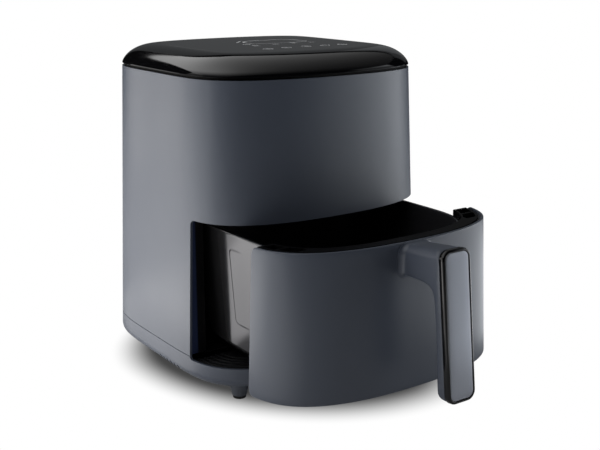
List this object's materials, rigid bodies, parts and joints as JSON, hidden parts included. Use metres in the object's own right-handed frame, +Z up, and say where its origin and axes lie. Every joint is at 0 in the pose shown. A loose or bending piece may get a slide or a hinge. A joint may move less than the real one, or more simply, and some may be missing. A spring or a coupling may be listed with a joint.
{
  "type": "air fryer",
  "caption": "Countertop air fryer with a tapered rounded housing, gloss touch-control lid and a pull-out basket drawer on a vertical handle, shown partly open.",
  "frame": {"origin": "on the floor, under the middle of the whole appliance's bounding box with the drawer in its stored, partly open place", "axes": "+Z up, -Y towards the user (the drawer pulls out along -Y), +X to the user's right"},
  "size_m": [0.2604, 0.43, 0.3138],
  "materials": {
    "body_satin": "satin moulded slate grey",
    "foot_grey": "satin",
    "gloss_black": "high gloss",
    "black_plastic": "fine texture",
    "nonstick_coating": "semi-gloss non-stick",
    "cavity_steel": "dark coated sheet",
    "silicone_rubber": "matte",
    "zinc_steel": "zinc plated",
    "element_steel": "heat darkened",
    "aluminium_sheet": "bright sheet",
    "chrome_wire": "bright",
    "white_ceramic": "glazed, ceramic on the real piece",
    "lamination_steel": "stacked sheet",
    "copper_winding": "enamelled wire",
    "bronze": "sintered",
    "circuit_board": "solder mask",
    "component_plastic": "moulded",
    "capacitor_sleeve": "shrink sleeve",
    "display_lens": "smoked",
    "glass_wool": "felted"
  },
  "bodies": {
    "housing": {"outer_shell": "body_satin", "base_tray": "body_satin", "feet": "foot_grey", "lid": "gloss_black", "touch_panel": "gloss_black", "sill_plate": "black_plastic", "mouth_frame": "black_plastic", "lid_ring": "black_plastic", "air_baffle": "black_plastic", "rear_grille": "black_plastic", "exhaust_duct": "black_plastic", "cord_gland": "black_plastic", "switch_body": "black_plastic", "terminal_block": "black_plastic", "cavity_liner": "cavity_steel", "foot_pads": "silicone_rubber", "foot_screws": "zinc_steel", "motor_plate": "zinc_steel", "motor_standoffs": "zinc_steel", "motor_screws": "zinc_steel", "lower_yoke": "zinc_steel", "upper_yoke": "zinc_steel", "motor_bolts": "zinc_steel", "lid_screws": "zinc_steel", "element_hangers": "zinc_steel", "temperature_probe": "zinc_steel", "heating_element": "element_steel", "heater_dome": "aluminium_sheet", "guard_grille": "chrome_wire", "element_bushes": "white_ceramic", "motor_stator": "lamination_steel", "motor_winding": "copper_winding", "motor_bearings": "bronze", "touch_springs": "bronze", "power_board": "circuit_board", "control_board": "circuit_board", "board_posts": "component_plastic", "board_spacers": "component_plastic", "relay": "component_plastic", "filter_capacitor": "component_plastic", "thermal_cutout": "component_plastic", "capacitor": "capacitor_sleeve", "display_module": "display_lens", "insulation": "glass_wool"},
    "drawer": {"drawer_front": "body_satin", "drawer_frame": "black_plastic", "pot": "nonstick_coating", "handle_shell": "body_satin", "handle_bezel": "gloss_black", "handle_insert": "body_satin", "handle_screws": "zinc_steel", "pot_screws": "zinc_steel"},
    "grid": {"crisper_grid": "nonstick_coating", "grid_feet": "silicone_rubber"},
    "rotor": {"drive_shaft": "zinc_steel", "hot_air_fan": "aluminium_sheet", "fan_nut": "zinc_steel", "cooling_fan": "black_plastic", "motor_rotor": "lamination_steel"},
    "plunger": {"switch_plunger": "component_plastic"}
  },
  "joints": [
    {"name": "drawer_slide", "type": "slide", "parent": "housing", "child": "drawer", "axis": [0, -1, 0], "range_m": [-0.1008, 0.15]},
    {"name": "grid_lift", "type": "slide", "parent": "drawer", "child": "grid", "axis": [0, 0, 1], "range_m": [0, 0.1]},
    {"name": "fan_spin", "type": "hinge", "parent": "housing", "child": "rotor", "pos_m": [0, 0.07795, 0.24], "axis": [0, 0, 1], "continuous": true},
    {"name": "plunger_press", "type": "slide", "parent": "housing", "child": "plunger", "axis": [0, 1, 0], "range_m": [0, 0.0018], "stiffness_N_per_m": 400}
  ]
}
